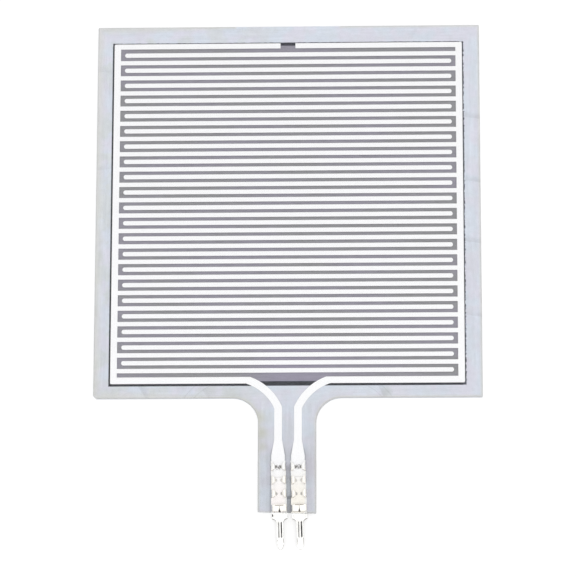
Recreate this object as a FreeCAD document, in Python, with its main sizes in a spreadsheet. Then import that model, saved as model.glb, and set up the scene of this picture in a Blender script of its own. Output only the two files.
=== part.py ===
import FreeCAD, Part
import math
import os

import Sketcher

# A thin-film force sensor: a square sensing sheet with a short tail and two crimped pins.
# The origin is the centre of the square on its underside. +Y points away from the tail,
# +Z is up through the layers, and lengths are in millimetres.

# Sizes that can each be set by itself.
driving = {
    # Outline of the films
    "square_side": 50.0,
    "square_corner": 0.08,
    "corner_nick": 0.38,
    "tail_width": 7.45,
    "tail_shift": -0.06,
    "tail_length": 14.98,
    "tail_root": 3.3,
    "cut_fall": 0.21,
    "backing_clearance": 0.12,
    # Thickness of each layer, from the back
    "liner_thickness": 0.10,
    "adhesive_thickness": 0.10,
    "film_thickness": 0.125,
    "carbon_thickness": 0.015,
    "spacer_thickness": 0.13,
    "silver_thickness": 0.02,
    "layer_gap": 0.002,
    # Bare border round the printed combs
    "side_border": 2.20,
    "top_border": 2.29,
    "foot_border": 1.90,
    "print_shift": -0.05,
    # Printed combs
    "bus_width": 0.85,
    "top_bar": 0.70,
    "foot_bar": 0.87,
    "bar_gap": 1.95,
    "comb_corner": 0.18,
    "finger_width": 0.587,
    "finger_gap": 0.451,
    "tip_gap": 0.54,
    # Carbon square and the opening in the spacer over it
    "carbon_margin": 0.225,
    "carbon_slip": 0.095,
    "spacer_overlap": 0.30,
    # Printed leads and their pads
    "lead_pitch": 2.54,
    "lead_shift": 0.06,
    "lead_width": 1.0,
    "bend_radius": 6.67,
    "bend_start": 19.6,
    "bend_finish": 23.6,
    "taper_length": 2.05,
    "pad_width": 1.72,
    "pad_margin": 0.60,
    # Crimped terminals
    "strip_thickness": 0.20,
    "strip_width": 1.92,
    "strip_nose": 0.50,
    "terminal_grip": 6.84,
    "terminal_skew": 1.8,
    "pierce_clearance": 0.02,
    "notch_reach": 0.30,
    "claw_count": 3,
    "first_claw": 0.90,
    "claw_pitch": 1.75,
    "claw_width": 1.0,
    "claw_tip": 0.30,
    "curl_radius": 0.09,
    "curl_drop": 0.06,
    "tear_length": 0.20,
    "tear_width": 0.24,
    "wing_start": 5.85,
    "wing_width": 0.85,
    "wing_bend": 0.25,
    "wing_seam": 0.05,
    "notch_length": 0.45,
    "notch_width": 0.24,
    # Neck and pin
    "neck_clearance": 0.12,
    "shoulder_length": 0.55,
    "neck_radius": 0.60,
    "pin_width": 0.83,
    "pin_height": 0.64,
    "channel_length": 1.9,
    "nose_block": 0.55,
    "nose_length": 0.90,
    "nose_tip": 0.30,
    "nose_dip": 0.18,
}

# Sizes that follow from the ones above.
following = {
    "half_side": "square_side / 2",
    "tail_side": "tail_width / 2",
    "tail_end": "half_side + tail_length",
    "cut_slope": "cut_fall / tail_width",
    # Level of each layer's underside
    "adhesive_level": "liner_thickness + layer_gap",
    "back_level": "adhesive_level + adhesive_thickness + layer_gap",
    "spacer_level": "back_level + film_thickness + layer_gap",
    "front_level": "spacer_level + spacer_thickness + layer_gap",
    "silver_level": "front_level - layer_gap - silver_thickness",
    "top_level": "front_level + film_thickness",
    # Edges of the combs
    "comb_side": "half_side - side_border",
    "comb_top": "half_side - top_border",
    "comb_foot": "foot_border - half_side",
    "comb_height": "comb_top - comb_foot",
    "comb_middle": "(comb_top + comb_foot) / 2",
    "bus_edge": "comb_side - bus_width",
    "inner_height": "comb_height - top_bar - foot_bar",
    "finger_pitch": "finger_width + finger_gap",
    "finger_pairs": "floor((inner_height - finger_gap) / (2 * finger_pitch))",
    "edge_gap": "(inner_height - 2 * finger_pairs * finger_pitch + finger_gap) / 2",
    "first_finger": "comb_top - top_bar - edge_gap - finger_width / 2",
    "tip_radius": "finger_width * 0.52",
    "tip_rise": "tip_radius - sqrt(tip_radius ^ 2 - (finger_width / 2) ^ 2)",
    # Opening and carbon square
    "opening_side": "comb_side - spacer_overlap",
    "opening_rise": "comb_height / 2 - spacer_overlap",
    "carbon_side": "comb_side + carbon_margin",
    "carbon_rise": "comb_height / 2 + carbon_margin",
    "carbon_middle": "comb_middle - carbon_slip",
    # Bend that carries each foot bar into its lead, about one centre
    "bend_down": "comb_foot + foot_bar / 2 - bend_radius * cos(bend_start)",
    "bend_across": "lead_pitch / 2 + bend_radius * cos(bend_finish)",
    "bend_outer": "bend_radius + lead_width / 2",
    "bend_inner": "bend_radius - lead_width / 2",
    "foot_top": "comb_foot + foot_bar",
    "lead_inside": "lead_pitch / 2 - lead_width / 2",
    "lead_outside": "lead_pitch / 2 + lead_width / 2",
    "pad_inside": "lead_pitch / 2 - pad_width / 2",
    "pad_outside": "lead_pitch / 2 + pad_width / 2",
    # Terminal, measured from the end that lies deepest under the tail
    "terminal_level": "back_level - layer_gap - strip_thickness",
    "terminal_nose": "terminal_grip - tail_end",
    "taper_foot": "terminal_nose + pad_margin",
    "taper_top": "taper_foot + taper_length",
    "strip_side": "strip_width / 2",
    "strip_inside": "strip_side - strip_thickness",
    "claw_base": "top_level + pierce_clearance - terminal_level",
    "curl_level": "claw_base + curl_drop",
    "curl_outer": "curl_radius + strip_thickness",
    "curl_centre": "strip_side - curl_outer",
    "curl_inside": "curl_centre - curl_radius",
    "curl_reach": "curl_centre - curl_outer",
    "tip_floor": "front_level + pierce_clearance - terminal_level",
    "taper_share": "(curl_inside - curl_reach) / (strip_inside - curl_reach)",
    "tip_width": "claw_tip + (claw_width - claw_tip) * taper_share",
    "wing_inner": "wing_bend - strip_thickness",
    "wing_foot": "claw_base + wing_inner",
    "wing_top": "wing_foot + strip_thickness",
    "neck_start": "terminal_grip + cut_fall / 2 + neck_clearance",
    "pin_side": "pin_width / 2",
    "pin_inside": "pin_side - strip_thickness",
    "pin_start": "neck_start + shoulder_length + neck_radius",
    "neck_across": "pin_side + neck_radius",
    "neck_outer": "neck_radius + strip_thickness",
    "shoulder_foot": "pin_start - sqrt(neck_radius ^ 2 - (neck_across - strip_side) ^ 2)",
    "channel_shoulder": "pin_start - sqrt(neck_outer ^ 2 - (neck_across - strip_inside) ^ 2)",
    "channel_end": "pin_start + channel_length",
    "nose_start": "channel_end + nose_block",
    "pin_end": "nose_start + nose_length",
    "nose_inset": "pin_side - nose_tip / 2",
    "nose_radius": "(nose_length ^ 2 + nose_inset ^ 2) / (2 * nose_inset)",
    "dip_radius": "(nose_length ^ 2 + nose_dip ^ 2) / (2 * nose_dip)",
}

nearness = 0.001
left = -1
right = 1

document = FreeCAD.newDocument("film_force_sensor")
sheet = document.addObject("Spreadsheet::Sheet", "size")


def fill_sheet():
    cells = [(name, str(number)) for name, number in driving.items()]
    cells += [(name, "=" + rule) for name, rule in following.items()]
    for row, (name, content) in enumerate(cells, start=1):
        sheet.set(f"A{row}", name)
        sheet.set(f"B{row}", content)
        sheet.setAlias(f"B{row}", name)
    document.recompute()


def number_of(expression):
    return float(sheet.evalExpression(expression))


def make_body(label, level):
    body = document.addObject("PartDesign::Body", label)
    body.Label = label
    body.setExpression("Placement.Base.z", level)
    return body


def add_sketch(body, plane_role, name):
    sketch = body.newObject("Sketcher::SketchObject", name)
    plane = next(item for item in body.Origin.OriginFeatures if item.Role == plane_role)
    sketch.AttachmentSupport = (plane, [""])
    sketch.MapMode = "FlatFace"
    return sketch


def arc_between(start, finish, radius, turn):
    # The shorter arc from start to finish: its centre is on the left where it turns left.
    chord = finish - start
    sagitta_side = FreeCAD.Vector(-chord.y, chord.x, 0).normalize() * turn
    height = math.sqrt(radius ** 2 - (chord.Length / 2) ** 2)
    centre = start + chord * 0.5 + sagitta_side * height
    first, last = (start, finish) if turn > 0 else (finish, start)
    first_angle = math.atan2(first.y - centre.y, first.x - centre.x)
    last_angle = math.atan2(last.y - centre.y, last.x - centre.x)
    circle = Part.Circle(centre, FreeCAD.Vector(0, 0, 1), radius)
    return Part.ArcOfCircle(circle, first_angle, last_angle)


def draw_outline(sketch, corners):
    # A closed outline of corners (across, up). A corner with a radius and a turn as well
    # leaves along an arc: turn 1 bends to the left and -1 to the right.
    places = [FreeCAD.Vector(number_of(corner[0]), number_of(corner[1]), 0) for corner in corners]
    pieces = []
    for index, corner in enumerate(corners):
        start = places[index]
        finish = places[(index + 1) % len(places)]
        if len(corner) == 2:
            line = sketch.addGeometry(Part.LineSegment(start, finish))
            pieces.append((line, 1, 2))
            continue
        radius = number_of(corner[2])
        arc = sketch.addGeometry(arc_between(start, finish, radius, corner[3]))
        pieces.append((arc, 1, 2) if corner[3] > 0 else (arc, 2, 1))
        rule = sketch.addConstraint(Sketcher.Constraint("Radius", arc, radius))
        sketch.setExpression(f"Constraints[{rule}]", corner[2])
    for index, (piece, start_end, finish_end) in enumerate(pieces):
        following_piece, following_start, _ = pieces[(index + 1) % len(pieces)]
        joined = ("Coincident", piece, finish_end, following_piece, following_start)
        sketch.addConstraint(Sketcher.Constraint(*joined))
        for kind, axis in (("DistanceX", 0), ("DistanceY", 1)):
            placed = (kind, -1, 1, piece, start_end, places[index][axis])
            rule = sketch.addConstraint(Sketcher.Constraint(*placed))
            sketch.setExpression(f"Constraints[{rule}]", corners[index][axis])


def mirrored(corners):
    # The same outline on the other side of the upright axis.
    flipped = []
    for across, up, *bend in corners:
        turn = [bend[0], -bend[1]] if bend else []
        flipped.append((f"-({across})", up, *turn))
    return flipped


def add_pad(body, sketch, thickness, name):
    pad = body.newObject("PartDesign::Pad", name)
    pad.Profile = sketch
    pad.setExpression("Length", thickness)
    return pad


def cut_through(body, sketch, name):
    pocket = body.newObject("PartDesign::Pocket", name)
    pocket.Profile = sketch
    pocket.Type = "ThroughAll"
    pocket.SideType = "Symmetric"
    return pocket


def repeat_down(body, sketch, originals, pitch, count, name):
    pattern = body.newObject("PartDesign::LinearPattern", name)
    pattern.Originals = originals
    pattern.Direction = (sketch, ["V_Axis"])
    pattern.Reversed = True
    pattern.Mode = "Spacing"
    pattern.setExpression("Offset", pitch)
    pattern.setExpression("Occurrences", count)
    body.Tip = pattern
    return pattern


def edges_at(feature, wanted):
    # Names of the edges whose middle point satisfies wanted.
    names = []
    for index, edge in enumerate(feature.Shape.Edges, start=1):
        middle = edge.valueAt((edge.FirstParameter + edge.LastParameter) / 2)
        if wanted(edge, middle):
            names.append(f"Edge{index}")
    return names


def upright_edges(feature, corners):
    places = [(number_of(across), number_of(up)) for across, up in corners]

    def wanted(edge, middle):
        upright = abs(edge.BoundBox.ZLength - edge.Length) < nearness
        return upright and any(math.dist((middle.x, middle.y), place) < nearness for place in places)

    return edges_at(feature, wanted)


def round_corners(body, feature, corners, radius, name):
    document.recompute()
    fillet = body.newObject("PartDesign::Fillet", name)
    fillet.Base = (feature, upright_edges(feature, corners))
    fillet.setExpression("Radius", radius)
    return fillet


def tail_edge(side):
    return f"{side} * size.tail_side + size.tail_shift"


def make_layer(label, level, thickness, left_end, right_end):
    # A layer of the square and its tail, with one worn corner at the lower left.
    body = make_body(label, level)
    sketch = add_sketch(body, "XY_Plane", f"{label}_outline")
    worn = ("-size.half_side", "-size.half_side")
    sharp = [
        ("size.half_side", "-size.half_side"),
        ("size.half_side", "size.half_side"),
        ("-size.half_side", "size.half_side"),
    ]
    roots = [(tail_edge(left), "-size.half_side"), (tail_edge(right), "-size.half_side")]
    ends = [(tail_edge(left), left_end), (tail_edge(right), right_end)]
    draw_outline(sketch, [worn, roots[0], *ends, roots[1], *sharp])
    sheet_pad = add_pad(body, sketch, thickness, f"{label}_sheet")
    root_fillet = round_corners(body, sheet_pad, roots, "size.tail_root", f"{label}_roots")
    corner_fillet = round_corners(body, root_fillet, sharp, "size.square_corner", f"{label}_corners")
    document.recompute()
    nick = body.newObject("PartDesign::Chamfer", f"{label}_nick")
    nick.Base = (corner_fillet, upright_edges(corner_fillet, [worn]))
    nick.setExpression("Size", "size.corner_nick")
    return body


def make_backing(label, level, thickness):
    end = "size.terminal_nose + size.backing_clearance"
    return make_layer(label, level, thickness, end, end)


def cut_end(across):
    # Height of the tail's slightly slanting cut at a given place across it.
    return f"-size.tail_end - ({across}) * size.cut_slope"


def make_film(label, level, thickness):
    ends = [cut_end(tail_edge(left)), cut_end(tail_edge(right))]
    return make_layer(label, level, thickness, *ends)


def rectangle(near, far, top, foot):
    return [(near, top), (near, foot), (far, foot), (far, top)]


def place_on_terminal(sketch, side):
    sketch.AttachmentOffset = FreeCAD.Placement(
        FreeCAD.Vector(1, 1, 0), FreeCAD.Rotation(FreeCAD.Vector(0, 0, 1), 1)
    )
    sketch.setExpression("AttachmentOffset.Base.x", f"{side} * size.lead_pitch / 2 + size.lead_shift")
    sketch.setExpression("AttachmentOffset.Base.y", "size.terminal_nose")
    sketch.setExpression("AttachmentOffset.Rotation.Angle", "size.terminal_skew")


def pierce_slots(body, sides, reach="size.pierce_clearance"):
    # Slots where each terminal's claws and wings come up through a layer. A print that is
    # no wider than the terminal has them as notches, with a reach out past its edge.
    near = "size.strip_inside - size.pierce_clearance"
    far = f"size.strip_side + {reach}"
    claw_top = "-size.first_claw + size.claw_width / 2 + size.pierce_clearance"
    claw_foot = "-size.first_claw - size.claw_width / 2 - size.pierce_clearance"
    wing_top = "-size.wing_start + size.pierce_clearance"
    wing_foot = "-size.wing_start - size.wing_width - size.pierce_clearance"
    for side in sides:
        name = "left" if side == left else "right"
        claws = add_sketch(body, "XY_Plane", f"{name}_claw_slots")
        place_on_terminal(claws, side)
        slot = rectangle(near, far, claw_top, claw_foot)
        draw_outline(claws, slot)
        draw_outline(claws, mirrored(slot))
        first = cut_through(body, claws, f"{name}_claw_pocket")
        repeat_down(body, claws, [first], "size.claw_pitch", "size.claw_count", f"{name}_claw_row")
        wings = add_sketch(body, "XY_Plane", f"{name}_wing_slots")
        place_on_terminal(wings, side)
        slot = rectangle(near, far, wing_top, wing_foot)
        draw_outline(wings, slot)
        draw_outline(wings, mirrored(slot))
        body.Tip = cut_through(body, wings, f"{name}_wing_pocket")


def pierce_tears(body, sides):
    # Torn openings where the claws' tips come back down through the film and the print.
    near = "size.curl_reach - size.tear_length"
    far = "size.curl_inside + size.pierce_clearance"
    tear = [
        (near, "-size.first_claw + size.tear_width / 2"),
        (near, "-size.first_claw - size.tear_width / 2"),
        (far, "-size.first_claw - size.tip_width / 2 - size.pierce_clearance"),
        (far, "-size.first_claw + size.tip_width / 2 + size.pierce_clearance"),
    ]
    for side in sides:
        name = "left" if side == left else "right"
        tears = add_sketch(body, "XY_Plane", f"{name}_tears")
        place_on_terminal(tears, side)
        draw_outline(tears, tear)
        draw_outline(tears, mirrored(tear))
        first = cut_through(body, tears, f"{name}_tear_pocket")
        repeat_down(body, tears, [first], "size.claw_pitch", "size.claw_count", f"{name}_tear_row")


def draw_carbon(sketch, room):
    # The carbon square's outline, with some room round it.
    near = f"size.print_shift - size.carbon_side - {room}"
    far = f"size.print_shift + size.carbon_side + {room}"
    top = f"size.carbon_middle + size.carbon_rise + {room}"
    foot = f"size.carbon_middle - size.carbon_rise - {room}"
    draw_outline(sketch, rectangle(near, far, top, foot))


def make_carbon():
    body = make_body("carbon_layer", "size.spacer_level")
    sketch = add_sketch(body, "XY_Plane", "carbon_outline")
    draw_carbon(sketch, "0")
    add_pad(body, sketch, "size.carbon_thickness", "carbon_print")
    return body


def make_electrode(label, side):
    # One printed comb: top bar, bus, foot bar, bend, lead and pad, then its fingers.
    body = make_body(label, "size.silver_level")
    outline = add_sketch(body, "XY_Plane", f"{label}_outline")

    def lead_edge(offset):
        return f"{side} * size.{offset} + size.lead_shift"

    across = f"({side} * size.bend_across + size.lead_shift)"

    def meets_bar(radius, height):
        # Where the bend's arc crosses a horizontal edge of the foot bar.
        return f"{across} - {side} * sqrt(size.{radius} ^ 2 - ({height} - size.bend_down) ^ 2)"

    def meets_lead(radius, offset):
        # Where the bend's arc crosses an upright edge of the lead.
        return f"size.bend_down + sqrt(size.{radius} ^ 2 - ({across} - ({lead_edge(offset)})) ^ 2)"

    outer = f"{side} * size.comb_side + size.print_shift"
    inner = f"{side} * size.bus_edge + size.print_shift"
    split = f"{side} * size.bar_gap / 2 + size.print_shift"
    pad_corners = [lead_edge("pad_outside"), lead_edge("pad_inside")]
    corners = [
        (split, "size.comb_top"),
        (outer, "size.comb_top"),
        (outer, "size.comb_foot"),
        (meets_bar("bend_inner", "size.comb_foot"), "size.comb_foot", "size.bend_inner", side),
        (lead_edge("lead_outside"), meets_lead("bend_inner", "lead_outside")),
        (lead_edge("lead_outside"), "size.taper_top"),
        (pad_corners[0], "size.taper_foot"),
        (pad_corners[0], cut_end(pad_corners[0])),
        (pad_corners[1], cut_end(pad_corners[1])),
        (pad_corners[1], "size.taper_foot"),
        (lead_edge("lead_inside"), "size.taper_top"),
        (lead_edge("lead_inside"), meets_lead("bend_outer", "lead_inside"), "size.bend_outer", -side),
        (meets_bar("bend_outer", "size.foot_top"), "size.foot_top"),
        (inner, "size.foot_top"),
        (inner, "size.comb_top - size.top_bar"),
        (split, "size.comb_top - size.top_bar"),
    ]
    draw_outline(outline, corners)
    frame = add_pad(body, outline, "size.silver_thickness", f"{label}_frame")
    rounded = [(outer, "size.comb_top"), (outer, "size.comb_foot")]
    round_corners(body, frame, rounded, "size.comb_corner", f"{label}_corners")

    # The first finger from the top is the right comb's, and they take turns from there.
    fingers = add_sketch(body, "XY_Plane", f"{label}_finger")
    turn_taken = 0 if side == right else 1
    middle = f"size.first_finger - {turn_taken} * size.finger_pitch"
    root = f"{side} * (size.comb_side - size.bus_width / 2) + size.print_shift"
    tip = f"{-side} * (size.bus_edge - size.tip_gap - size.tip_rise) + size.print_shift"
    upper = f"{middle} + size.finger_width / 2"
    lower = f"{middle} - size.finger_width / 2"
    draw_outline(fingers, [(root, upper), (tip, upper, "size.tip_radius", side), (tip, lower), (root, lower)])
    finger = add_pad(body, fingers, "size.silver_thickness", f"{label}_first_finger")
    repeat_down(body, fingers, [finger], "2 * size.finger_pitch", "size.finger_pairs", f"{label}_fingers")
    pierce_slots(body, [side], "size.notch_reach")
    pierce_tears(body, [side])
    return body


def make_spacer(electrodes):
    # Adhesive frame round the sensing square, with the prints sunk into its two faces.
    body = make_film("spacer_frame", "size.spacer_level", "size.spacer_thickness")
    opening = add_sketch(body, "XY_Plane", "spacer_opening")
    top = "size.comb_middle + size.opening_rise"
    foot = "size.comb_middle - size.opening_rise"
    near = "size.print_shift - size.opening_side"
    far = "size.print_shift + size.opening_side"
    draw_outline(opening, rectangle(near, far, top, foot))
    cut_through(body, opening, "spacer_window")
    recess = add_sketch(body, "XY_Plane", "carbon_recess")
    draw_carbon(recess, "size.layer_gap")
    sunk = body.newObject("PartDesign::Pocket", "carbon_pocket")
    sunk.Profile = recess
    sunk.Reversed = True
    sunk.setExpression("Length", "size.carbon_thickness + size.layer_gap")
    pierce_slots(body, [left, right])
    prints = document.addObject("Part::MultiFuse", "prints")
    prints.Shapes = electrodes
    spacer = document.addObject("Part::Cut", "spacer_adhesive")
    spacer.Base = body
    spacer.Tool = prints
    return spacer


def add_strip(body):
    sketch = add_sketch(body, "XY_Plane", "strip_outline")
    draw_outline(sketch, rectangle("-size.strip_side", "size.strip_side", "0", "-size.shoulder_foot"))
    strip = add_pad(body, sketch, "size.strip_thickness", "strip")
    nose = [("-size.strip_side", "0"), ("size.strip_side", "0")]
    return round_corners(body, strip, nose, "size.strip_nose", "strip_end")


def across_terminal(body, distance, name):
    # A sketch that looks along the terminal, at a distance from its inner end.
    sketch = add_sketch(body, "XZ_Plane", name)
    sketch.setExpression("AttachmentOffset.Base.z", distance)
    return sketch


def add_claws(body):
    # Each claw rises at the strip's edge, curls inwards and bites back through the film.
    sketch = across_terminal(body, "size.first_claw", "claw_curl")
    curl_top = "size.curl_level + size.curl_outer"
    hollow_top = "size.curl_level + size.curl_radius"
    claw = [
        ("size.strip_side", "0"),
        ("size.strip_side", "size.curl_level", "size.curl_outer", 1),
        ("size.curl_centre", curl_top, "size.curl_outer", 1),
        ("size.curl_reach", "size.curl_level"),
        ("size.curl_inside", "size.tip_floor"),
        ("size.curl_inside", "size.curl_level", "size.curl_radius", -1),
        ("size.curl_centre", hollow_top, "size.curl_radius", -1),
        ("size.strip_inside", "size.curl_level"),
        ("size.strip_inside", "0"),
    ]
    draw_outline(sketch, claw)
    draw_outline(sketch, mirrored(claw))
    claws = add_pad(body, sketch, "size.claw_width", "claws")
    claws.SideType = "Symmetric"

    taper = add_sketch(body, "XY_Plane", "claw_taper")
    taper.setExpression("AttachmentOffset.Base.z", "size.tip_floor")
    for direction in (left, right):
        edge = f"-size.first_claw + {direction} * size.claw_width / 2"
        beyond = f"-size.first_claw + {direction} * size.claw_width"
        point = f"-size.first_claw + {direction} * size.claw_tip / 2"
        waste = [
            ("size.strip_inside", edge),
            ("size.strip_inside", beyond),
            ("size.curl_reach", beyond),
            ("size.curl_reach", point),
        ]
        draw_outline(taper, waste)
        draw_outline(taper, mirrored(waste))
    shaped = body.newObject("PartDesign::Pocket", "claw_points")
    shaped.Profile = taper
    shaped.Type = "ThroughAll"
    shaped.Reversed = True
    repeat_down(body, taper, [claws, shaped], "size.claw_pitch", "size.claw_count", "claw_row")


def add_wings(body):
    # A pair of flat wings folded over the end of the tail, almost meeting in the middle.
    middle = "size.wing_start + size.wing_width / 2"
    sketch = across_terminal(body, middle, "wing_fold")
    wing = [
        ("size.strip_side", "0"),
        ("size.strip_side", "size.claw_base", "size.wing_bend", 1),
        ("size.strip_side - size.wing_bend", "size.wing_top"),
        ("size.wing_seam / 2", "size.wing_top"),
        ("size.wing_seam / 2", "size.wing_foot"),
        ("size.strip_side - size.wing_bend", "size.wing_foot", "size.wing_inner", -1),
        ("size.strip_inside", "size.claw_base"),
        ("size.strip_inside", "0"),
    ]
    draw_outline(sketch, wing)
    draw_outline(sketch, mirrored(wing))
    wings = add_pad(body, sketch, "size.wing_width", "wings")
    wings.SideType = "Symmetric"

    # Towards the pin the seam opens into a small notch.
    notch = add_sketch(body, "XY_Plane", "seam_notch")
    notch.setExpression("AttachmentOffset.Base.z", "size.claw_base")
    mouth = "-size.wing_start - size.wing_width"
    draw_outline(notch, [
        ("0", f"{mouth} + size.notch_length"),
        ("-size.notch_width / 2", mouth),
        ("size.notch_width / 2", mouth),
    ])
    opened = body.newObject("PartDesign::Pocket", "wing_notch")
    opened.Profile = notch
    opened.Type = "ThroughAll"
    opened.Reversed = True


def add_pin(body):
    # Neck, open channel and closed bullet nose, folded up from the same strip.
    outline = add_sketch(body, "XY_Plane", "pin_outline")
    nose_side = "size.nose_tip / 2"
    draw_outline(outline, [
        ("-size.strip_side", "-size.neck_start"),
        ("-size.strip_side", "-size.shoulder_foot", "size.neck_radius", -1),
        ("-size.pin_side", "-size.pin_start"),
        ("-size.pin_side", "-size.nose_start", "size.nose_radius", 1),
        (f"-{nose_side}", "-size.pin_end"),
        (nose_side, "-size.pin_end", "size.nose_radius", 1),
        ("size.pin_side", "-size.nose_start"),
        ("size.pin_side", "-size.pin_start", "size.neck_radius", -1),
        ("size.strip_side", "-size.shoulder_foot"),
        ("size.strip_side", "-size.neck_start"),
    ])
    add_pad(body, outline, "size.pin_height", "pin")

    hollow = add_sketch(body, "XY_Plane", "channel_outline")
    hollow.setExpression("AttachmentOffset.Base.z", "size.strip_thickness")
    above_neck = "-size.neck_start + size.strip_thickness"
    draw_outline(hollow, [
        ("-size.strip_inside", above_neck),
        ("-size.strip_inside", "-size.channel_shoulder", "size.neck_outer", -1),
        ("-size.pin_inside", "-size.pin_start"),
        ("-size.pin_inside", "-size.channel_end"),
        ("size.pin_inside", "-size.channel_end"),
        ("size.pin_inside", "-size.pin_start", "size.neck_outer", -1),
        ("size.strip_inside", "-size.channel_shoulder"),
        ("size.strip_inside", above_neck),
    ])
    channel = body.newObject("PartDesign::Pocket", "channel")
    channel.Profile = hollow
    channel.Type = "ThroughAll"
    channel.Reversed = True


def point_nose(body):
    # Seen from the side, the nose also closes in from above and from below.
    sketch = add_sketch(body, "YZ_Plane", "nose_side")
    draw_outline(sketch, [
        ("-size.pin_end", "size.pin_height - size.nose_dip", "size.dip_radius", -1),
        ("-size.nose_start", "size.pin_height"),
        ("-size.pin_end", "size.pin_height"),
    ])
    draw_outline(sketch, [
        ("-size.nose_start", "0", "size.dip_radius", -1),
        ("-size.pin_end", "size.nose_dip"),
        ("-size.pin_end", "0"),
    ])
    body.Tip = cut_through(body, sketch, "nose_point")


def make_terminal(label, side):
    body = make_body(label, "size.terminal_level")
    body.Placement = FreeCAD.Placement(
        FreeCAD.Vector(1, 1, 0), FreeCAD.Rotation(FreeCAD.Vector(0, 0, 1), 1)
    )
    body.setExpression("Placement.Base.x", f"{side} * size.lead_pitch / 2 + size.lead_shift")
    body.setExpression("Placement.Base.y", "size.terminal_nose")
    body.setExpression("Placement.Rotation.Angle", "size.terminal_skew")
    add_strip(body)
    add_claws(body)
    add_wings(body)
    add_pin(body)
    point_nose(body)
    return body


def check(pieces):
    document.recompute()
    for item in document.Objects:
        if "Invalid" in item.State or "Error" in item.State:
            raise RuntimeError(f"{item.Name} failed to build: {item.State}")
    for piece in pieces:
        if piece.Shape.isNull() or not piece.Shape.isValid():
            raise RuntimeError(f"{piece.Label} has no valid shape")


def write(pieces):
    os.makedirs("parts", exist_ok=True)
    for piece in pieces:
        piece.Shape.exportStep(f"parts/{piece.Label}.step")
        solids = len(piece.Shape.Solids)
        print(f"{piece.Label}: {solids} solid, {piece.Shape.Volume:.3f} cubic mm")


fill_sheet()
liner = make_backing("release_liner", "0", "size.liner_thickness")
adhesive = make_backing("mounting_adhesive", "size.adhesive_level", "size.adhesive_thickness")
back = make_film("back_film", "size.back_level", "size.film_thickness")
pierce_slots(back, [left, right])
carbon = make_carbon()
electrodes = [make_electrode("left_electrode", left), make_electrode("right_electrode", right)]
spacer = make_spacer(electrodes)
front = make_film("front_film", "size.front_level", "size.film_thickness")
pierce_slots(front, [left, right])
pierce_tears(front, [left, right])
terminals = [make_terminal("left_terminal", left), make_terminal("right_terminal", right)]
pieces = [liner, adhesive, back, carbon, *electrodes, spacer, front, *terminals]
check(pieces)
write(pieces)
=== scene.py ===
import math

import bpy
from mathutils import Matrix, Vector


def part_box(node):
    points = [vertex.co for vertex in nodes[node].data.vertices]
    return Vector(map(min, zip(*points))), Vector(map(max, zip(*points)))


# A thin-film force sensor on a white table, seen from nearly straight above.
# Sizes written here are millimetres, and mm turns them into Blender's metres.

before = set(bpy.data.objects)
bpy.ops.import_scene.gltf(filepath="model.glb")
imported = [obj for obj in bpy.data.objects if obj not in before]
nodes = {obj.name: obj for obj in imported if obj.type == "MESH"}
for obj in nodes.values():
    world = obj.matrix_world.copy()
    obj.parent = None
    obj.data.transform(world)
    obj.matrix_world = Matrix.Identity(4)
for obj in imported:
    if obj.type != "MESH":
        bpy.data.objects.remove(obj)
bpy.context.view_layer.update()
mm = 0.001
print("frame loaded")


def fromHex(code):
    # sRGB hex to the linear colour that a socket takes.
    shares = [int(code[i:i + 2], 16) / 255 for i in (0, 2, 4)]
    linear = [s / 12.92 if s <= 0.04045 else ((s + 0.055) / 1.055) ** 2.4 for s in shares]
    return (*linear, 1.0)


def addNode(tree, kind, inputs=(), **settings):
    # Adds a node with its settings, fills or links its inputs, and gives back its outputs.
    node = tree.nodes.new("ShaderNode" + kind)
    for name, value in settings.items():
        setattr(node, name, value)
    sockets = inputs if isinstance(inputs, dict) else dict(enumerate(inputs))
    for socket, value in sockets.items():
        if isinstance(value, bpy.types.NodeSocket):
            tree.links.new(value, node.inputs[socket])
        else:
            node.inputs[socket].default_value = value
    return node.outputs


def newMaterial(name):
    # An empty material, its tree, and the place on the piece in mm.
    material = bpy.data.materials.new(name)
    material.use_nodes = True
    tree = material.node_tree
    tree.nodes.clear()
    metres = addNode(tree, "TexCoord")["Object"]
    place = addNode(tree, "VectorMath", {0: metres, "Scale": 1 / mm}, operation="SCALE")[0]
    return material, tree, place


def dress(names, material, shader):
    # Ends the material with its shader and puts it on the named pieces.
    addNode(material.node_tree, "OutputMaterial", {"Surface": shader})
    for name in names:
        for slot in nodes[name].material_slots:
            slot.material = material


def chained(tree, operation, values):
    # The values joined one after another by an operation.
    total = values[0]
    for value in values[1:]:
        total = addNode(tree, "Math", [total, value], operation=operation)[0]
    return total


def product(tree, *shares):
    return chained(tree, "MULTIPLY", shares)


def largest(tree, *values):
    return chained(tree, "MAXIMUM", values)


def smallest(tree, *values):
    return chained(tree, "MINIMUM", values)


def beyond(tree, value, *starts):
    # How far a value lies past the starts, and less than 0 before them.
    return chained(tree, "SUBTRACT", (value, *starts))


def awayFrom(tree, value, middle=0.0):
    # How far a value lies from the middle, on either side.
    return addNode(tree, "Math", [beyond(tree, value, middle)], operation="ABSOLUTE")[0]


def awayFromPoint(tree, place, point):
    # How far a place lies from a point of the sheet's plane.
    return addNode(tree, "VectorMath", [place, (*point, 0)], operation="DISTANCE")["Value"]


def ramp(tree, value, low, high, start=0.0, finish=1.0):
    # Goes smoothly from start at low to finish at high.
    ends = {"Value": value, "From Min": low, "From Max": high, "To Min": start, "To Max": finish}
    return addNode(tree, "MapRange", ends, interpolation_type="SMOOTHSTEP")["Result"]


def band(tree, value, low, high, blur):
    # 1 from low to high and 0 beyond, with soft ends.
    rise = ramp(tree, value, low - blur, low + blur)
    fall = ramp(tree, value, high - blur, high + blur, 1.0, 0.0)
    return product(tree, rise, fall)


def dulled(tree, mask, share):
    # 1 off the mask, going to the share where the mask is full.
    return ramp(tree, mask, 0.0, 1.0, 1.0, share)


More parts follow.
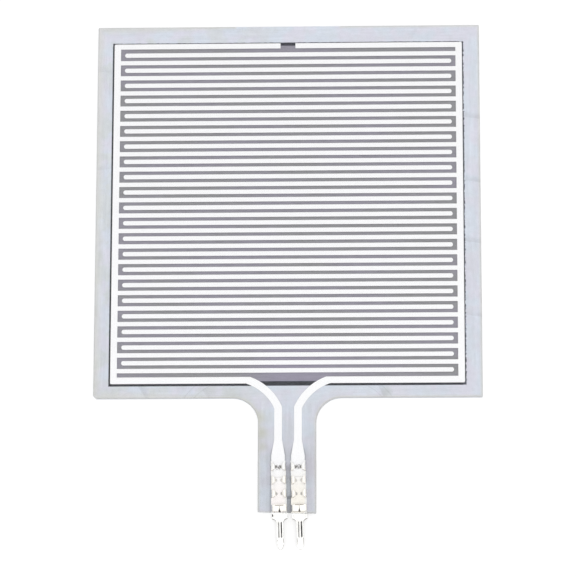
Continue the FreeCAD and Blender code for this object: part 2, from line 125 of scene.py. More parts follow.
def swing(tree, cloud, size, middle=1.0):
    # Follows a cloud, by up to half the size below and above the middle.
    return addNode(tree, "Math", [cloud, size, middle - size / 2], operation="MULTIPLY_ADD")[0]


def noise(tree, place, size, stretch=(1, 1, 1), detail=2.0, shift=(0, 0, 0)):
    # Cloudy noise with features of about size mm, drawn out by stretch. A shift keeps two
    # clouds on one piece from matching.
    scale = [1 / (size * s) for s in stretch]
    drawn = addNode(tree, "Mapping", {"Vector": place, "Scale": scale, "Location": shift})[0]
    return addNode(tree, "TexNoise", {"Vector": drawn, "Scale": 1.0, "Detail": detail})["Fac"]


def outsideBox(tree, place, middle, half):
    # How far a place lies outside an upright box, and less than 0 inside it.
    offset = addNode(tree, "VectorMath", [place, (*middle[:2], 0)], operation="SUBTRACT")[0]
    folded = addNode(tree, "VectorMath", [offset], operation="ABSOLUTE")[0]
    past = addNode(tree, "VectorMath", [folded, (*half[:2], 0)], operation="SUBTRACT")[0]
    axes = addNode(tree, "SeparateXYZ", [past])
    return largest(tree, axes["X"], axes["Y"])


def turnedAxes(tree, place, centre, turn):
    # The place along axes that start at the centre and are turned by so many degrees.
    axes = {"Vector": place, "Location": (*centre, 0), "Rotation": (0, 0, math.radians(turn))}
    local = addNode(tree, "Mapping", axes, vector_type="TEXTURE")[0]
    return addNode(tree, "SeparateXYZ", [local])


def spot(tree, place, centre, radius, core=0.2):
    # 1 over the core of a soft round patch and 0 beyond its radius.
    reach = awayFromPoint(tree, place, centre)
    return ramp(tree, reach, core * radius, radius, 1.0, 0.0)


def crease(tree, place, centre, turn, half, reach, blur=0.05):
    # 1 along a short fold line, fading out over reach on its left side and at its ends.
    axes = turnedAxes(tree, place, centre, turn)
    ends = ramp(tree, awayFrom(tree, axes["X"]), half / 2, half, 1.0, 0.0)
    sharp = ramp(tree, axes["Y"], -blur, blur)
    fading = ramp(tree, axes["Y"], 0.0, reach, 1.0, 0.0)
    return product(tree, ends, sharp, fading)


def fadeColour(tree, share, first, second):
    # The first colour turning into the second by the share. Each is sRGB hex or a socket.
    first, second = (fromHex(c) if isinstance(c, str) else c for c in (first, second))
    return addNode(tree, "Mix", {0: share, 6: first, 7: second}, data_type="RGBA")[2]


def shaded(tree, colour, shade):
    # The colour made darker or lighter by a share.
    grey = addNode(tree, "CombineColor", [shade, shade, shade])[0]
    layers = {0: 1.0, 6: colour, 7: grey}
    return addNode(tree, "Mix", layers, data_type="RGBA", blend_type="MULTIPLY")[2]


# Camera: the photograph's, found from the sheet's corners and tail.
view = {
    "aim": (0.0189, -10.4904, 0.5),
    "azimuth": -7.3263,
    "elevation": 75.5234,
    "roll": -7.4419,
    "distance": 487.67,
    "lens": 235.953,
    "sensor": 36,
    "nearest": 10.0,
}


def makeCamera():
    azimuth, elevation, roll = (math.radians(view[k]) for k in ("azimuth", "elevation", "roll"))
    flat = math.cos(elevation)
    out = Vector((-math.sin(azimuth) * flat, -math.cos(azimuth) * flat, math.sin(elevation)))
    side = Vector((0, 0, 1)).cross(out).normalized()
    up = out.cross(side)
    across = side * math.cos(roll) + up * math.sin(roll)
    along = up * math.cos(roll) - side * math.sin(roll)
    lens = bpy.data.cameras.new("camera")
    lens.lens = view["lens"]
    lens.sensor_width = view["sensor"]
    lens.clip_start = view["nearest"] * mm
    camera = bpy.data.objects.new("camera", lens)
    bpy.context.scene.collection.objects.link(camera)
    turn = Matrix((across, along, out)).transposed().to_4x4()
    camera.matrix_world = Matrix.Translation((Vector(view["aim"]) + out * view["distance"]) * mm) @ turn
    bpy.context.scene.camera = camera


makeCamera()
print("camera placed")

# Light: an even white studio with one wide lamp overhead, a little towards the camera.
studio = {
    "fill": 0.76,
    "lampFrom": (0.12, -0.34, 0.93),
    "lampDistance": 1000.0,
    "lampSide": 900.0,
    "lampPower": 2.8,
    "tableSide": 1600.0,
    "tableDrop": 0.02,
    "tableColour": "C4C4C4",
    "tableGlow": 0.56,
}


def seenDirectly(tree):
    # 1 for what the camera sees by itself, in a reflection or through glass.
    rays = addNode(tree, "LightPath")
    return largest(tree, rays["Is Camera Ray"], rays["Is Glossy Ray"], rays["Is Transmission Ray"])


def makeLight():
    world = bpy.data.worlds.new("studio")
    bpy.context.scene.world = world
    world.use_nodes = True
    tree = world.node_tree
    tree.nodes.clear()
    white = fromHex("FFFFFF")
    fill = addNode(tree, "Background", {"Color": white, "Strength": studio["fill"]})[0]
    backdrop = addNode(tree, "Background", {"Color": white, "Strength": 1.0})[0]
    shown = addNode(tree, "MixShader", [seenDirectly(tree), fill, backdrop])[0]
    addNode(tree, "OutputWorld", {"Surface": shown})

    lamp = bpy.data.lights.new("window", "AREA")
    lamp.shape = "SQUARE"
    lamp.size = studio["lampSide"] * mm
    lamp.energy = studio["lampPower"]
    window = bpy.data.objects.new("window", lamp)
    bpy.context.scene.collection.objects.link(window)
    direction = Vector(studio["lampFrom"]).normalized()
    window.location = direction * studio["lampDistance"] * mm
    window.rotation_euler = direction.to_track_quat("Z", "Y").to_euler()


def makeTable():
    half = studio["tableSide"] / 2 * mm
    level = -studio["tableDrop"] * mm
    mesh = bpy.data.meshes.new("table")
    corners = [(-half, -half, level), (half, -half, level), (half, half, level), (-half, half, level)]
    mesh.from_pydata(corners, [], [(0, 1, 2, 3)])
    table = bpy.data.objects.new("table", mesh)
    bpy.context.scene.collection.objects.link(table)
    material, tree, _ = newMaterial("whiteTable")
    matt = addNode(tree, "BsdfDiffuse", {"Color": fromHex(studio["tableColour"])})[0]
    strength = product(tree, seenDirectly(tree), studio["tableGlow"])
    glow = addNode(tree, "Emission", {"Strength": strength})[0]
    both = addNode(tree, "AddShader", [matt, glow])[0]
    addNode(tree, "OutputMaterial", {"Surface": both})
    mesh.materials.append(material)


makeLight()
makeTable()
print("studio lit")

# Where things lie on the sheet: boxes as (middle, half size), the rounded roots of the
# tail, the leads with their bends and pads, and where the crimped terminals start and how
# far they turn.
carbonLow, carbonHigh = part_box("carbon_layer")
layout = {
    "carbon": ((carbonLow + carbonHigh) / 2 / mm, (carbonHigh - carbonLow) / 2 / mm),
    "opening": ((-0.05, -0.195), (22.5, 22.602)),
    "square": ((0.0, 0.0), (25.0, 25.0)),
    "tail": ((-0.06, -30.0), (3.725, 10.04)),
    "rootCentre": (7.025, -28.3),
    "rootRadius": 3.3,
    "leadShift": 0.06,
    "leadPitch": 2.54,
    "leadHalf": (0.50, 0.86),
    "leadTaper": (-30.49, -32.54),
    "leadTop": -23.4,
    "bendCentre": (7.38, -28.95),
    "bendRadius": 6.67,
    "kink": -26.28,
    "kinkBlur": 0.02,
    "crimpTop": -33.14,
    "crimpTurn": 1.8,
}


def outsideSheet(tree, place):
    # How far a place lies outside the sheet's outline. Each rounded root between the tail
    # and the square is a block with a disc taken out of it.
    axes = addNode(tree, "SeparateXYZ", [place])
    across = awayFrom(tree, axes["X"], layout["tail"][0][0])
    folded = addNode(tree, "CombineXYZ", [across, axes["Y"]])[0]
    right, bottom = layout["rootCentre"]
    outOfDisc = beyond(tree, layout["rootRadius"], awayFromPoint(tree, folded, layout["rootCentre"]))
    root = largest(tree, outOfDisc, beyond(tree, across, right), beyond(tree, bottom, axes["Y"]))
    square = outsideBox(tree, place, *layout["square"])
    return smallest(tree, root, square, outsideBox(tree, place, *layout["tail"]))


def outsideLeads(tree, place):
    # How far a place on the tail lies outside the printed lead next to it: its arc above
    # the kink, and below it the straight part that widens to the pad.
    axes = addNode(tree, "SeparateXYZ", [place])
    across = awayFrom(tree, axes["X"], layout["leadShift"])
    high, low = layout["leadTaper"]
    narrow, wide = layout["leadHalf"]
    taper = {"Value": axes["Y"], "From Min": high, "From Max": low, "To Min": narrow, "To Max": wide}
    half = addNode(tree, "MapRange", taper)["Result"]
    straight = beyond(tree, awayFrom(tree, across, layout["leadPitch"] / 2), half)
    folded = addNode(tree, "CombineXYZ", [across, axes["Y"]])[0]
    reach = awayFromPoint(tree, folded, layout["bendCentre"])
    bent = beyond(tree, awayFrom(tree, reach, layout["bendRadius"]), narrow)
    kink, blur = layout["kink"], layout["kinkBlur"]
    above = ramp(tree, axes["Y"], kink - blur, kink + blur)
    return addNode(tree, "Mix", {0: above, 2: straight, 3: bent})[0]


def crimpSpot(tree, place):
    # Place on a terminal: off its centre line, along it, and across the pair.
    axes = turnedAxes(tree, place, (layout["leadShift"], layout["crimpTop"]), layout["crimpTurn"])
    pair = axes["X"]
    across = awayFrom(tree, awayFrom(tree, pair), layout["leadPitch"] / 2)
    return across, axes["Y"], pair


def crimpMark(tree, across, along, span, half):
    # 1 on both terminals in a band along them, out to an edge on either side.
    return product(tree, band(tree, along, *span), ramp(tree, across, *half, 1.0, 0.0))


# In the looks below, a band is (low end, high end, blur), an edge is (where it starts, where
# it is full), a spot is (centre, radius, tone), and a crease is (centre, turn in degrees,
# half length, strength).

# Front film: clear polyester, drawn flat from the melt. It has a faint haze and slight waves.
filmLook = {
    "tint": "FFFFFF",
    "hazeColour": "E6EAF2",
    "haze": 0.010,
    "hazeSwing": 0.02,
    "hazeSize": 2.5,
    "gleam": 0.018,
    "slantGleam": 0.6,
    "slantPower": 5.0,
    "roughness": 0.10,
    "waveSize": 6.0,
    "waveDepth": 0.004,
}


def makeFrontFilm():
    material, tree, place = newMaterial("clearPolyester")
    look = filmLook
    clouds = noise(tree, place, look["hazeSize"], detail=4.0)
    hazy = swing(tree, clouds, look["hazeSwing"], look["haze"])
    clear = addNode(tree, "BsdfTransparent", {"Color": fromHex(look["tint"])})[0]
    haze = addNode(tree, "BsdfDiffuse", {"Color": fromHex(look["hazeColour"])})[0]
    body = addNode(tree, "MixShader", [hazy, clear, haze])[0]
    waves = noise(tree, place, look["waveSize"], detail=1.0)
    relief = addNode(tree, "Bump", {"Distance": look["waveDepth"] * mm, "Height": waves})[0]
    gloss = addNode(tree, "BsdfGlossy", {"Roughness": look["roughness"], "Normal": relief})[0]

    # A smooth face throws back little light from above and more at a slant.
    slant = addNode(tree, "LayerWeight", {"Blend": 0.5})["Facing"]
    steep = addNode(tree, "Math", [slant, look["slantPower"]], operation="POWER")[0]
    gleam = [steep, look["slantGleam"], look["gleam"]]
    gleaming = addNode(tree, "Math", gleam, operation="MULTIPLY_ADD")[0]
    dress(["front_film"], material, addNode(tree, "MixShader", [gleaming, body, gloss])[0])


makeFrontFilm()

# Spacer: double-sided adhesive sheet. It looks milky over the white backing, drifts between
# cool grey, lavender and grey-green, with stronger spots near the tail, and turns clear
# where it wets the dark carbon, up to an edge that is ragged at the right and the top. It
# has faint streaks along each border and a few creases across it, drawn as painted shade.
# Painted shade also darkens its cut edge, beside the leads and pads, and parts of the gap
# between the terminals, where one part is painted lighter. Their bright base shows through
# it, and painted shadow and dirt lie where the claws tore it.
spacerLook = {
    "cool": "DBE2ED",
    "lavender": "DFDFEB",
    "green": "D8DDE1",
    "driftSize": 3.0,
    "driftEdge": (0.40, 0.60),
    "greenSize": 2.1,
    "greenEdge": (0.44, 0.62),
    "greenFade": (-18.0, 8.0),
    "greenLeast": 0.25,
    "spots": [
        ((-5.6, -26.2), 2.2, "D0D3D2"),
        ((-3.9, -27.6), 1.6, "CFD1C7"),
        ((-3.5, -29.6), 1.5, "D0D2C8"),
        ((-3.3, -31.4), 1.2, "D3D4CF"),
        ((4.6, -27.0), 2.2, "D5D6E0"),
        ((-3.0, -36.0), 1.4, "D8DAE4"),
        ((3.2, -34.0), 3.0, "D7D6E0"),
        ((12.7, -24.3), 1.2, "CACFD2"),
        ((-9.8, -24.2), 1.3, "D3D6DA"),
        ((-7.3, -25.2), 2.4, "D1D5D6"),
        ((6.6, -25.6), 1.8, "D6D8E2"),
    ],
    "edgeTone": "DBDBD6",
    "edgeShare": 0.75,
    "edgeReach": (1.3, 0.45),
    "edgeTurn": (-22.0, -8.0),
    "mottleSize": 0.6,
    "mottle": 0.16,
    "streakSize": 0.30,
    "streakStretch": 14,
    "streak": 0.24,
    "cornerBlur": 1.0,
    "tailStreaks": (-26.0, -25.0),
    "footFade": (10.0, -20.0),
    "footShade": 0.965,
    "tailFade": (-25.0, -33.0),
    "tailShade": 0.905,
    # Painted shade along the cut edge.
    "rim": (-0.16, -0.048),
    "rimShade": 0.87,
    # Painted shade along folds in the sheet.
    "creases": [
        ((23.9, 12.3), -8, 1.9, 0.9),
        ((23.9, 3.7), -10, 1.9, 0.9),
        ((23.9, -4.5), -8, 1.9, 0.9),
        ((23.9, -14.3), -8, 1.9, 0.7),
        ((-23.9, 5.6), 6, 1.3, 0.6),
        ((-24.2, 18.9), -4, 1.2, 0.6),
        ((-18.8, -24.1), -57, 1.5, 1.0),
        ((-10.6, -24.5), -60, 1.0, 0.6),
        ((11.9, -24.1), -65, 1.3, 0.8),
        ((16.6, 23.8), 60, 1.3, 0.4),
    ],
    "creaseReach": 1.1,
    "creaseShade": 0.88,
    # Painted shade in lines beside the leads and pads.
    "leadLine": 0.10,
    "leadShade": 0.86,
    "padLine": 0.26,
    "padShade": 0.72,
    "lineCore": 0.3,
    "lineTopBlur": 0.3,
    "inkBlur": 0.03,
    # Softer painted shade round the pads.
    "surroundShadeReach": (0.2, 1.1),
    "padSurroundShade": 0.91,
    # Painted shade between the leads and between the terminals, with a darker painted shadow.
    "stripHalf": (0.60, 0.80),
    "stripBlur": 1.0,
    "stripShade": 0.965,
    "gapHalf": (0.30, 0.45),
    "gapParts": [((-0.2, -1.2), 0.72), ((-1.9, -3.3), 1.16), ((-4.0, -5.3), 0.68)],
    # A darker painted shadow in the gap between the terminals.
    "gapShadow": (-5.10, -4.70, 0.08),
    "gapShadowShade": 0.62,
    "base": "FBFAF7",
    "baseHalf": (0.935, 0.975),
    "baseSpan": (-7.2, -0.1, 0.1),
    # Painted shadow and dirt where the claws' tips tore the sheet.
    "shadowAndSoil": "5E5955",
    "shadowSoilHalf": (0.34, 0.44),
    "shadowSoilRows": [((-1.8, 0.0, 0.02), 0.85), ((-3.6, -1.8, 0.02), 0.28), ((-5.2, -3.6, 0.02), 0.50)],
    "raggedFrom": (22.3, 22.6),
    "raggedTop": 0.35,
    "raggedSize": 0.28,
    "raggedMiddle": 0.42,
    "raggedDepth": 0.48,
    "edgeBlur": 0.03,
    "wetTint": "F6F7FB",
    "roughness": 0.55,
}


def spacerColour(tree, place):
    # Its slow drift of tones, its spots, and the greyer tone along its cut edge, which
    # reaches in further on the left.
    look = spacerLook
    across = addNode(tree, "SeparateXYZ", [place])["X"]
    drift = ramp(tree, noise(tree, place, look["driftSize"], detail=3.0), *look["driftEdge"])
    colour = fadeColour(tree, drift, look["cool"], look["lavender"])
    clouds = noise(tree, place, look["greenSize"], detail=4.0, shift=(7, 3, 0))
    fading = ramp(tree, across, *look["greenFade"], 1.0, look["greenLeast"])
    patches = product(tree, ramp(tree, clouds, *look["greenEdge"]), fading)
    colour = fadeColour(tree, patches, colour, look["green"])
    for centre, radius, tone in look["spots"]:
        colour = fadeColour(tree, spot(tree, place, centre, radius), colour, tone)
    wide, thin = look["edgeReach"]
    start = ramp(tree, across, *look["edgeTurn"], -wide, -thin)
    edge = ramp(tree, outsideSheet(tree, place), start, 0.0, 0.0, look["edgeShare"])
    return fadeColour(tree, edge, colour, look["edgeTone"])


def sheetShades(tree, place):
    # Mottle, streaks that turn with the borders, the duller foot and tail, and painted shade
    # along the cut edge and on the creases.
    look = spacerLook
    axes = addNode(tree, "SeparateXYZ", [place])
    height = axes["Y"]
    drawn = look["streakStretch"]
    level = noise(tree, place, look["streakSize"], stretch=(drawn, 1, 1), detail=3.0)
    upright = noise(tree, place, look["streakSize"], stretch=(1, drawn, 1), detail=3.0)
    sideways = beyond(tree, awayFrom(tree, axes["X"]), awayFrom(tree, height))
    onSides = ramp(tree, sideways, -look["cornerBlur"], look["cornerBlur"])
    onTail = ramp(tree, height, *look["tailStreaks"], 1.0, 0.0)
    streaks = addNode(tree, "Mix", {0: largest(tree, onSides, onTail), 2: level, 3: upright})[0]
    mottle = noise(tree, place, look["mottleSize"], detail=3.0, shift=(2, 9, 0))
    # Painted shade along each crease.
    lines = []
    for centre, turn, half, strength in look["creases"]:
        line = crease(tree, place, centre, turn, half, look["creaseReach"])
        lines.append(product(tree, line, strength))
    return [
        swing(tree, mottle, look["mottle"]),
        swing(tree, streaks, look["streak"]),
        ramp(tree, height, *look["footFade"], 1.0, look["footShade"]),
        ramp(tree, height, *look["tailFade"], 1.0, look["tailShade"]),
        # Painted shade along the cut edge.
        ramp(tree, outsideSheet(tree, place), *look["rim"], 1.0, look["rimShade"]),
        dulled(tree, largest(tree, *lines), look["creaseShade"]),
    ]


def leadShades(tree, place):
    # A line of painted shade beside each lead, wider and darker beside its pad, and softer
    # painted shade round the pads. None of them lies on the ink.
    look = spacerLook
    height = addNode(tree, "SeparateXYZ", [place])["Y"]
    outside = outsideLeads(tree, place)
    offInk = ramp(tree, outside, -look["inkBlur"], 0.0)
    onPads = ramp(tree, height, *layout["leadTaper"])
    reach = ramp(tree, onPads, 0.0, 1.0, look["leadLine"], look["padLine"])
    line = ramp(tree, outside, product(tree, reach, look["lineCore"]), reach, 1.0, 0.0)
    top = layout["leadTop"]
    belowTop = ramp(tree, height, top + look["lineTopBlur"], top)
    depth = ramp(tree, onPads, 0.0, 1.0, 1 - look["leadShade"], 1 - look["padShade"])
    darkness = product(tree, line, offInk, belowTop, depth)
    around = ramp(tree, outside, *look["surroundShadeReach"], 1.0, 0.0)
    return [
        beyond(tree, 1.0, darkness),
        dulled(tree, product(tree, onPads, around, offInk), look["padSurroundShade"]),
    ]


def gapShades(tree, place):
    # Painted shade on the strip between the leads, and in the gap between the terminals
    # painted shade, lighter in one part, with a darker painted shadow.
    look = spacerLook
    height = addNode(tree, "SeparateXYZ", [place])["Y"]
    _, along, pair = crimpSpot(tree, place)
    offMiddle = awayFrom(tree, pair)
    top, blur = layout["leadTop"], look["stripBlur"]
    strip = ramp(tree, offMiddle, *look["stripHalf"], 1.0, 0.0)
    belowTop = ramp(tree, height, top + blur, top - blur)
    gap = ramp(tree, offMiddle, *look["gapHalf"], 1.0, 0.0)
    # Painted shade on the strip, then in parts of the gap, one part lighter.
    shades = [dulled(tree, product(tree, belowTop, strip), look["stripShade"])]
    for span, share in look["gapParts"]:
        shades.append(dulled(tree, product(tree, ramp(tree, along, *span), gap), share))
    # A darker painted shadow in the gap.
    gapShadow = product(tree, band(tree, along, *look["gapShadow"]), gap)
    shades.append(dulled(tree, gapShadow, look["gapShadowShade"]))
    return shades


def makeSpacer():
    material, tree, place = newMaterial("milkyAdhesive")
    look = spacerLook
    shades = sheetShades(tree, place) + leadShades(tree, place) + gapShades(tree, place)
    colour = shaded(tree, spacerColour(tree, place), product(tree, *shades))
    across, along, _ = crimpSpot(tree, place)
    base = crimpMark(tree, across, along, look["baseSpan"], look["baseHalf"])
    colour = fadeColour(tree, base, colour, look["base"])
    # Painted shadow and dirt in rows where the claws' tips tore it.
    for span, strength in look["shadowSoilRows"]:
        row = crimpMark(tree, across, along, span, look["shadowSoilHalf"])
        colour = fadeColour(tree, product(tree, row, strength), colour, look["shadowAndSoil"])
    milky = addNode(tree, "BsdfPrincipled", {"Base Color": colour, "Roughness": look["roughness"]})[0]
    wet = addNode(tree, "BsdfTransparent", {"Color": fromHex(look["wetTint"])})[0]

    # The wetted part ends at the carbon's edge, which the ragged cloud moves in and out.
    axes = addNode(tree, "SeparateXYZ", [place])
    atRight = ramp(tree, axes["X"], *look["raggedFrom"])
    atTop = ramp(tree, axes["Y"], *look["raggedFrom"], 0.0, look["raggedTop"])
    cloud = beyond(tree, noise(tree, place, look["raggedSize"]), look["raggedMiddle"])
    ragged = product(tree, cloud, largest(tree, atRight, atTop), look["raggedDepth"])
    carbonEdge = outsideBox(tree, place, *layout["carbon"])
    outside = addNode(tree, "Math", [carbonEdge, ragged], operation="ADD")[0]
    dry = ramp(tree, outside, -look["edgeBlur"], look["edgeBlur"])
    dress(["spacer_adhesive"], material, addNode(tree, "MixShader", [dry, wet, milky])[0])


makeSpacer()

# Carbon: matt black ink, screen printed. It is grey under the air of the opening and
# nearly black where the adhesive wets it, which it does less well at the right. It is
# streaked the way of the squeegee, with a few dark specks.
carbonLook = {
    "lavender": "93909C",
    "grey": "8F8F92",
    "driftSize": 4.0,
    "driftStretch": 3.5,
    "driftEdge": (0.40, 0.60),
    "foot": ((0.3, -22.6), 8.5, "9691A3"),
    "streakSize": 0.28,
    "streakStretch": 5,
    "streak": 0.36,
    "speckSize": 0.35,
    "speckStretch": 2.5,
    "speckEdge": (0.68, 0.76),
    "speckShade": 0.82,
    "wet": "2C2C32",
    "wetPoor": "6C6C72",
    "poorFrom": (22.2, 22.5),
    "poorEdge": (0.38, 0.58),
    "edgeBlur": 0.05,
    "grainSize": 0.25,  # the screen's mesh is finer, drawn coarser to show
    "grainDepth": 0.003,
    "roughness": 0.6,
}


def makeCarbon():
    material, tree, place = newMaterial("carbonInk")
    look = carbonLook
    drift = noise(tree, place, look["driftSize"], stretch=(look["driftStretch"], 1, 1), detail=3.0)
    dry = fadeColour(tree, ramp(tree, drift, *look["driftEdge"]), look["lavender"], look["grey"])
    centre, radius, tone = look["foot"]
    dry = fadeColour(tree, spot(tree, place, centre, radius), dry, tone)
    streaks = noise(tree, place, look["streakSize"], stretch=(look["streakStretch"], 1, 1), detail=4.0)
    specks = noise(tree, place, look["speckSize"], stretch=(look["speckStretch"], 1, 1), shift=(5, 1, 0))
    speckled = ramp(tree, specks, *look["speckEdge"], 1.0, look["speckShade"])
    dry = shaded(tree, dry, product(tree, swing(tree, streaks, look["streak"]), speckled))

    atRight = ramp(tree, addNode(tree, "SeparateXYZ", [place])["X"], *look["poorFrom"])
    patchy = product(tree, atRight, ramp(tree, specks, *look["poorEdge"]))
    wet = fadeColour(tree, patchy, look["wet"], look["wetPoor"])
    outside = outsideBox(tree, place, *layout["opening"])
    underSpacer = ramp(tree, outside, -look["edgeBlur"], look["edgeBlur"])
    grain = noise(tree, place, look["grainSize"], detail=4.0)
    ink = {
        "Base Color": fadeColour(tree, underSpacer, dry, wet),
        "Roughness": look["roughness"],
        "Normal": addNode(tree, "Bump", {"Distance": look["grainDepth"] * mm, "Height": grain})[0],
    }
    dress(["carbon_layer"], material, addNode(tree, "BsdfPrincipled", ink)[0])


makeCarbon()

# Silver: flake ink, screen printed, and bright white under the film. Each pad has a cream
# cast between its terminal's claws. Painted shade and dirt darken the ink where the first
# claws meet, a faint line of painted shade lies above the second, and painted shadow lies
# under the open notch of the folded wings.
silverLook = {
    "bright": "FEFEFF",
    "dull": "FAFAFB",
    "flakeEdge": (0.3, 0.7),
    "leftCream": "FFFAF8",
    "rightCream": "FDF9F0",
    "creamSplit": (-0.3, 0.3),
    "creamFrom": (-0.5, -5.0),
    # Painted shadow and dirt for the marks below.
    "shadowAndSoil": "4A443F",
    # Painted shade and dirt where the first claws meet.
    "biteShadeSpan": (-1.22, -0.62, 0.12),
    "biteShadeHalf": (0.15, 0.39),
    "biteShadeSize": 0.22,
    "biteShadeEdge": (0.35, 0.60),
    "biteShadeShare": 0.85,
    # A faint line of painted shade above the second claws.
    "rowTwoShadeSpan": (-2.26, -2.14, 0.05),
    "rowTwoShadeHalf": (0.45, 0.60),
    "rowTwoShadeShare": 0.16,
    # Painted shadow under the open notch of the folded wings.
    "notchShadowSpan": (-6.80, -6.20, 0.03),
    "notchShadowHalf": (0.10, 0.16),
    "grainSize": 0.12,  # real flakes are some microns, drawn coarser to show
    "grainDepth": 0.003,
    "roughness": 0.5,
    "metallic": 0.26,
}


def makeSilver():
    material, tree, place = newMaterial("silverInk")
    look = silverLook
    across, along, pair = crimpSpot(tree, place)
    flakes = noise(tree, place, look["grainSize"], detail=3.0)
    colour = fadeColour(tree, ramp(tree, flakes, *look["flakeEdge"]), look["dull"], look["bright"])
    onRight = ramp(tree, pair, *look["creamSplit"])
    cream = fadeColour(tree, onRight, look["leftCream"], look["rightCream"])
    colour = fadeColour(tree, ramp(tree, along, *look["creamFrom"]), colour, cream)
    # Painted shade and dirt where the first claws meet, painted shade above the second claws, and
    # painted shadow under the wings' notch.
    blots = ramp(tree, noise(tree, place, look["biteShadeSize"], shift=(3, 1, 0)), *look["biteShadeEdge"])
    biteShade = crimpMark(tree, across, along, look["biteShadeSpan"], look["biteShadeHalf"])
    rowTwoShade = crimpMark(tree, across, along, look["rowTwoShadeSpan"], look["rowTwoShadeHalf"])
    marks = [
        product(tree, biteShade, blots, look["biteShadeShare"]),
        product(tree, rowTwoShade, look["rowTwoShadeShare"]),
        crimpMark(tree, across, along, look["notchShadowSpan"], look["notchShadowHalf"]),
    ]
    for mark in marks:
        colour = fadeColour(tree, mark, colour, look["shadowAndSoil"])
    ink = {
        "Base Color": colour,
        "Roughness": look["roughness"],
        "Metallic": look["metallic"],
        "Normal": addNode(tree, "Bump", {"Distance": look["grainDepth"] * mm, "Height": flakes})[0],
    }
    dress(["left_electrode", "right_electrode"], material, addNode(tree, "BsdfPrincipled", ink)[0])


makeSilver()

# Backing: the back film, its mounting adhesive and the release liner. The carbon square
# shows through them as a soft grey shape.
backingLook = {
    "shadowBlur": 0.4,
    "milk": "DCE1EA",
    "milkDull": "D2D7DF",
    "throughGrey": "8C9097",
    "cloudSize": 5.0,
    "roughness": 0.4,
}


def makeBacking():
    material, tree, place = newMaterial("siliconeLiner")
    look = backingLook
    clouds = noise(tree, place, look["cloudSize"], detail=4.0)
    milk = fadeColour(tree, clouds, look["milk"], look["milkDull"])
    outside = outsideBox(tree, place, *layout["carbon"])
    offCarbon = ramp(tree, outside, -look["shadowBlur"], look["shadowBlur"])
    colour = fadeColour(tree, offCarbon, look["throughGrey"], milk)
    sheet = addNode(tree, "BsdfPrincipled", {"Base Color": colour, "Roughness": look["roughness"]})[0]
    dress(["release_liner", "mounting_adhesive", "back_film"], material, sheet)


makeBacking()
print("sheets and inks dressed")

# Terminals: bright tin plate over brass strip, drawn, punched and folded. The claws and
# wings have a cream cast, and a grey line marks the wings' fold. The pin's side walls, cut
# by shearing, carry painted shade, its open channel has painted shade along both walls, a
# broken line of painted shade runs just inside the edge of its closed end, and painted
# shade marks the left terminal's left shoulder. The strip is plain underneath.
tinLook = {
    "bright": "F8F8F6",
    "dull": "F0EFEC",
    "cloudSize": 0.8,
    "cloudEdge": (0.3, 0.7),
    "cream": "F7F4EE",
    "creamSpan": (-6.75, -1.2, 0.2),
    "topFrom": (-0.6, -0.3),
    "fold": "9C958C",
    "foldSpan": (-5.99, -5.88, 0.03),
    "foldHalf": (0.45, 0.65),
    # Painted shade on the pin's steep side walls.
    "pinWallShade": "77726A",
    "pinWallSlope": (0.3, 0.6),
    "pinWallFrom": (-6.9, -7.1),
    # Painted shade along both walls of each pin's channel.
    "channelShadow": "2E2D2C",
    "channelSpan": (-10.05, -8.0, 0.05),
    "channelWalls": (0.085, 0.26, 0.02),
    "dashSize": 0.35,
    "dashStretch": 2.5,
    "dashEdge": (0.3, 0.5),
    "dashLeast": 0.75,
    "lastWall": 0.86,
    "lastWallFrom": (1.2, 1.3),
    "leftWall": 0.60,
    "leftWallBlur": 0.02,
    # Painted shade on the left terminal's left shoulder.
    "shoulderShadeSpan": (-7.36, -6.96, 0.05),
    "shoulderShadeSides": (-2.26, -2.10, 0.02),
    # Painted shade just inside the edge of the pin's closed end.
    "noseEdgeShade": "8E8B86",
    "rim": (0.01, 0.07, 0.02),
    "rimFrom": (-10.15, -10.25),
    "rimBreakSize": 0.5,
    "rimBreakEdge": (0.38, 0.52),
    "noseStart": -10.66,
    "noseHalf": 0.415,
    "noseRadius": 1.661,
    "scratchSize": 0.03,  # real drawing lines are finer, drawn coarser to show
    "scratchStretch": 15,
    "scratchDepth": 0.0006,
    "roughness": 0.28,
    "roughSwing": 0.12,
}


def channelShading(tree, place):
    # Painted shade along both walls of each pin's channel, with faint breaks, weaker on each
    # pin's left and wider on the right pin's right, and painted shade on the left terminal's
    # left shoulder.
    look = tinLook
    across, along, pair = crimpSpot(tree, place)
    narrowed = ramp(tree, pair, *look["lastWallFrom"], 1.0, look["lastWall"])
    dashes = noise(tree, place, look["dashSize"], stretch=(1, look["dashStretch"], 1), shift=(4, 2, 0))
    broken = ramp(tree, dashes, *look["dashEdge"], look["dashLeast"], 1.0)
    pitch, blur = layout["leadPitch"], look["leftWallBlur"]
    fromLeft = addNode(tree, "Math", [pair, pitch, 0.0], operation="WRAP")[0]
    strength = ramp(tree, fromLeft, pitch / 2 - blur, pitch / 2 + blur, look["leftWall"], 1.0)
    walls = band(tree, product(tree, across, narrowed), *look["channelWalls"])
    walls = product(tree, walls, band(tree, along, *look["channelSpan"]), broken, strength)
    # Painted shade on the left terminal's left shoulder.
    shoulderShade = product(tree, band(tree, along, *look["shoulderShadeSpan"]), band(tree, pair, *look["shoulderShadeSides"]))
    return largest(tree, walls, shoulderShade)


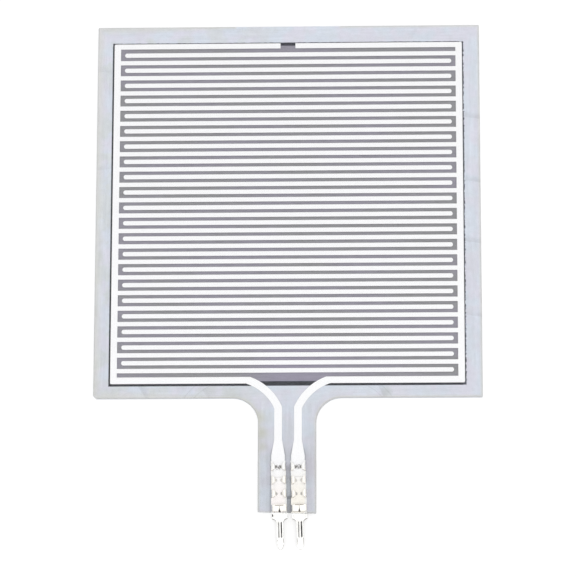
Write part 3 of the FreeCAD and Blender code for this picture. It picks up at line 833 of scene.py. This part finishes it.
def noseEdgeShading(tree, place):
    # A broken line of painted shade just inside the edge of the pin's closed end. The edge is
    # straight down to noseStart, and from there an arc draws it in.
    look = tinLook
    across, along, _ = crimpSpot(tree, place)
    past = smallest(tree, beyond(tree, along, look["noseStart"]), 0.0)
    radius = look["noseRadius"]
    squared = beyond(tree, radius ** 2, product(tree, past, past))
    arc = addNode(tree, "Math", [squared], operation="SQRT")[0]
    inside = beyond(tree, arc, radius - look["noseHalf"], across)
    breaks = noise(tree, place, look["rimBreakSize"], shift=(1, 6, 0))
    onNose = ramp(tree, along, *look["rimFrom"])
    broken = ramp(tree, breaks, *look["rimBreakEdge"])
    return product(tree, band(tree, inside, *look["rim"]), onNose, broken)


def makeTin():
    material, tree, place = newMaterial("tinPlate")
    look = tinLook
    across, along, _ = crimpSpot(tree, place)
    clouds = noise(tree, place, look["cloudSize"], detail=3.0)
    colour = fadeColour(tree, ramp(tree, clouds, *look["cloudEdge"]), look["dull"], look["bright"])
    colour = fadeColour(tree, band(tree, along, *look["creamSpan"]), colour, look["cream"])
    facing = addNode(tree, "NewGeometry")["True Normal"]
    upward = addNode(tree, "SeparateXYZ", [facing])["Z"]
    onTop = ramp(tree, upward, *look["topFrom"])
    fold = crimpMark(tree, across, along, look["foldSpan"], look["foldHalf"])
    colour = fadeColour(tree, product(tree, fold, onTop), colour, look["fold"])
    # Painted shade on the pin's steep side walls.
    onWalls = ramp(tree, awayFrom(tree, upward), *look["pinWallSlope"], 1.0, 0.0)
    pinWallShade = product(tree, onWalls, ramp(tree, along, *look["pinWallFrom"]))
    colour = fadeColour(tree, pinWallShade, colour, look["pinWallShade"])
    # Painted shade along the channel walls and on the left shoulder.
    channel = product(tree, channelShading(tree, place), onTop)
    colour = fadeColour(tree, channel, colour, look["channelShadow"])
    # A broken line of painted shade inside the edge of the pin's closed end.
    rim = product(tree, noseEdgeShading(tree, place), onTop)
    colour = fadeColour(tree, rim, colour, look["noseEdgeShade"])
    scratches = noise(tree, place, look["scratchSize"], stretch=(1, look["scratchStretch"], 1))
    plate = {
        "Base Color": colour,
        "Metallic": 1.0,
        "Roughness": swing(tree, clouds, look["roughSwing"], look["roughness"]),
        "Normal": addNode(tree, "Bump", {"Distance": look["scratchDepth"] * mm, "Height": scratches})[0],
    }
    dress(["left_terminal", "right_terminal"], material, addNode(tree, "BsdfPrincipled", plate)[0])


makeTin()
print("terminals dressed")

bpy.context.scene.view_settings.view_transform = "Standard"
